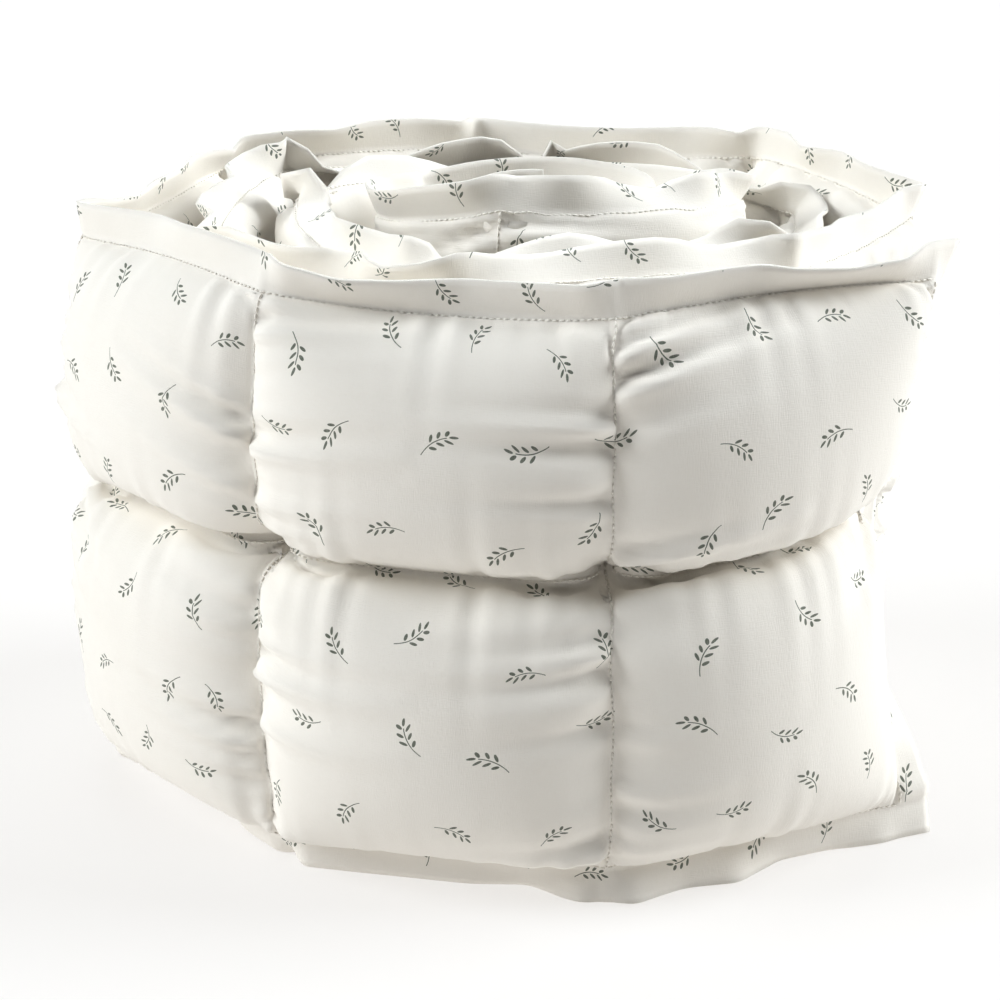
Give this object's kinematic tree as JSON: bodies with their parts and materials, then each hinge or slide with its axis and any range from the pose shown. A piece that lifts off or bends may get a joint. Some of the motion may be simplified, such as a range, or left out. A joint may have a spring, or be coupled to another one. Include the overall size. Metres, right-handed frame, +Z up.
{
  "type": "rolled crib bumper",
  "caption": "Quilted, padded crib bumper strip in leaf-print cotton, rolled up and standing on its long flanged edge; it is unrolled to line the inside of a cot.",
  "frame": {"origin": "on the floor, under the middle of the rolled strip's box", "axes": "+Z up along the roll's axis, -Y towards the front, where the free end lies to the right, +X to the right"},
  "size_m": [0.4057, 0.4062, 0.29],
  "materials": {
    "printed_cotton": "matte woven cotton, cream, with small grey-green leaf sprigs"
  },
  "bodies": {
    "root": {"quilted_strip": "printed_cotton"}
  },
  "joints": []
}
